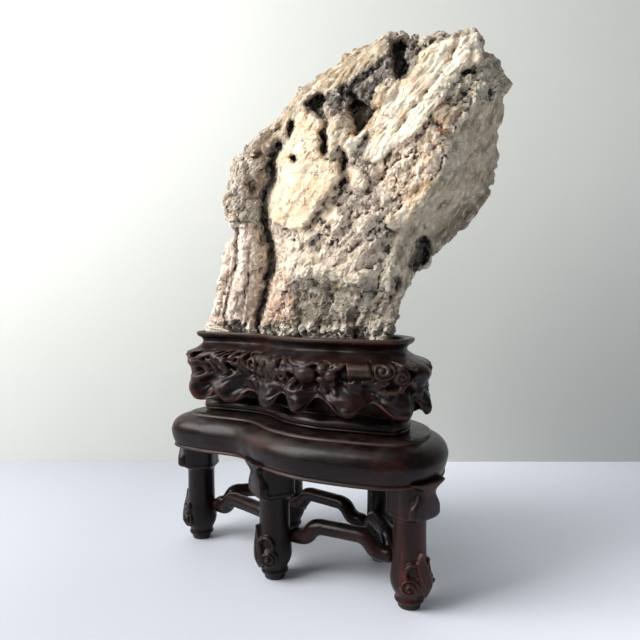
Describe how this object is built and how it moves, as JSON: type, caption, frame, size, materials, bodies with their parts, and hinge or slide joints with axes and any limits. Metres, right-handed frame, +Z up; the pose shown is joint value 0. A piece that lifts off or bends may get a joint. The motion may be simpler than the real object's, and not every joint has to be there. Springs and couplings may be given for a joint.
{
  "type": "scholars rock on a carved stand",
  "caption": "Leaning weathered rock with white quartz bands, set in a carved leaf cradle on a small kidney-shaped dark wood table with bent stretchers.",
  "frame": {"origin": "middle of the bounding box in plan, on the surface that the five foot pads stand on", "axes": "+Z up, the stone's height; +X along the table towards the end that the stone leans over; +Y to the back, where the two back legs are"},
  "size_m": [0.2631, 0.1494, 0.4028],
  "materials": {
    "stone": "rough weathered rock with white and ochre quartz",
    "rosewood": "satin hand-rubbed polish, reddish streaks in the grain",
    "foot_pad": "matte black"
  },
  "bodies": {
    "root": {"scholars_stone": "stone", "carved_cradle": "rosewood", "cradle_plinth": "rosewood", "table_top": "rosewood", "leg_left": "rosewood", "leg_front": "rosewood", "leg_right": "rosewood", "leg_back_right": "rosewood", "leg_back_left": "rosewood", "stretcher_left_to_front": "rosewood", "stretcher_front_to_right": "rosewood", "stretcher_right_to_back_right": "rosewood", "stretcher_back_right_to_back_left": "rosewood", "stretcher_back_left_to_left": "rosewood", "foot_pad_left": "foot_pad", "foot_pad_front": "foot_pad", "foot_pad_right": "foot_pad", "foot_pad_back_right": "foot_pad", "foot_pad_back_left": "foot_pad"}
  },
  "joints": []
}
